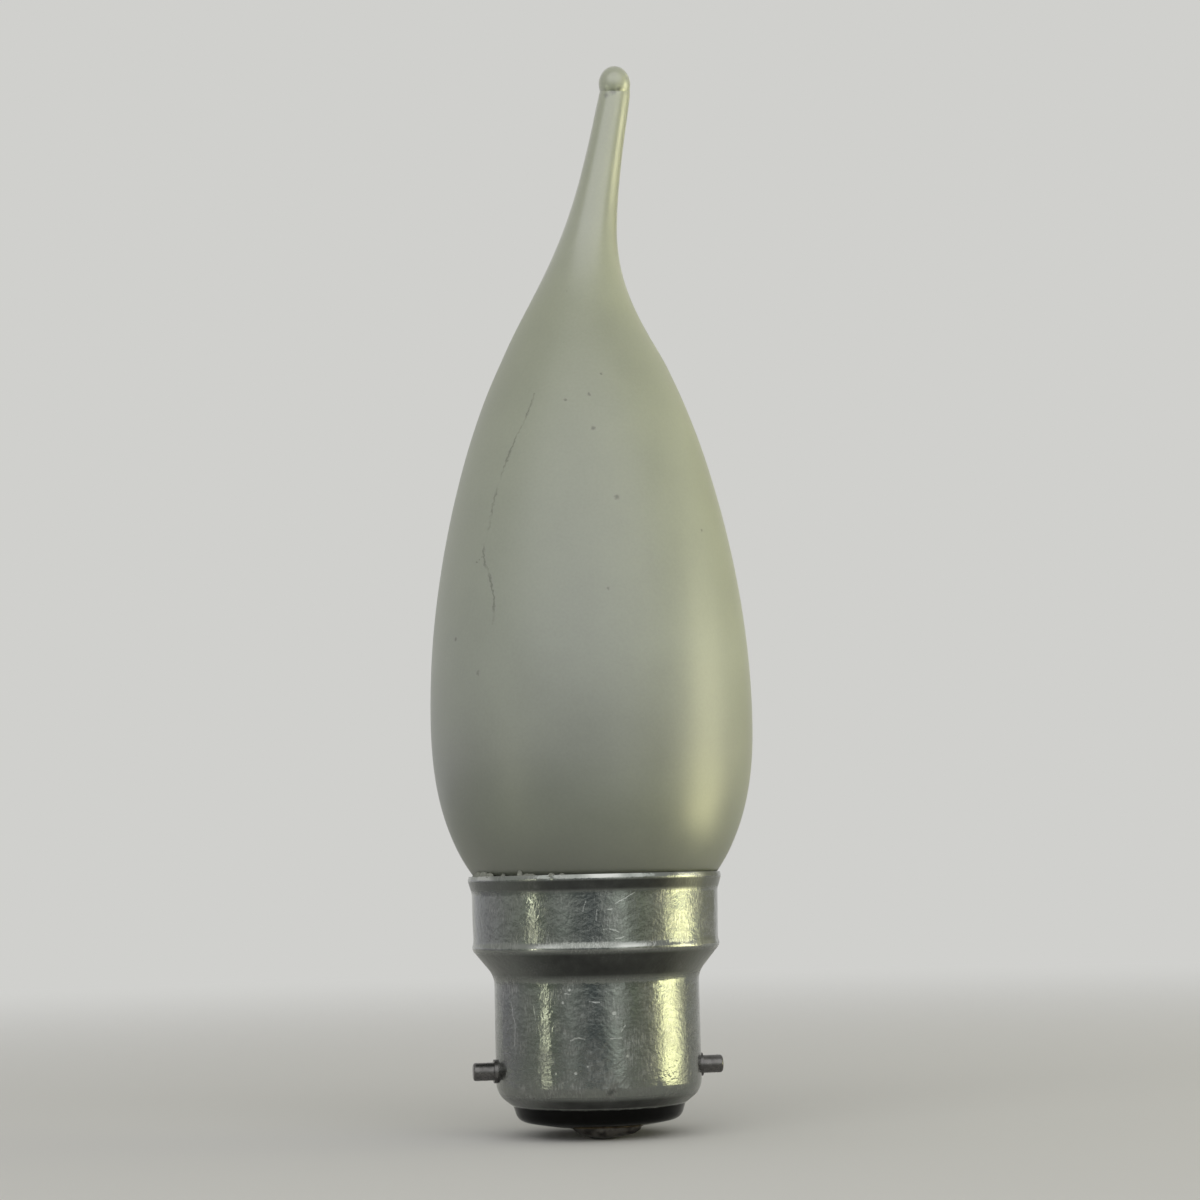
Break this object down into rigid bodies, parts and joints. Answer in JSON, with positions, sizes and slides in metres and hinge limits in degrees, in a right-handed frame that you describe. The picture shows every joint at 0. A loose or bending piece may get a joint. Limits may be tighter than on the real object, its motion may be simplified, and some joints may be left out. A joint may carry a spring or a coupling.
{
  "type": "candle bulb",
  "caption": "Frosted glass candle bulb with a bent flame tip, on a metal bayonet cap with side pins, a black glass insulator and soldered end contacts.",
  "frame": {"origin": "on the lamp's axis, level with the axis of the bayonet pins", "axes": "+Z along the lamp's axis from the contacts to the glass tip, +X along the bayonet pins and towards the bend of the tip, the contacts at -Y and +Y"},
  "size_m": [0.035, 0.035, 0.1176],
  "materials": {
    "frosted_glass": "satin frosted",
    "cement": "rough mineral cement",
    "cap_metal": "dull, scuffed drawn sheet",
    "pin_metal": "dull",
    "black_glass": "gloss",
    "contact_brass": "tarnished",
    "solder": "dull, oxidised solder",
    "lead_wire": "bare wire"
  },
  "bodies": {
    "root": {"glass_bulb": "frosted_glass", "capping_cement": "cement", "cap_shell": "cap_metal", "bayonet_pin_left": "pin_metal", "bayonet_pin_right": "pin_metal", "insulator": "black_glass", "contact_plate_front": "contact_brass", "contact_plate_rear": "contact_brass", "solder_front": "solder", "solder_rear": "solder", "lead_wire_front": "lead_wire", "lead_wire_rear": "lead_wire"}
  },
  "joints": []
}
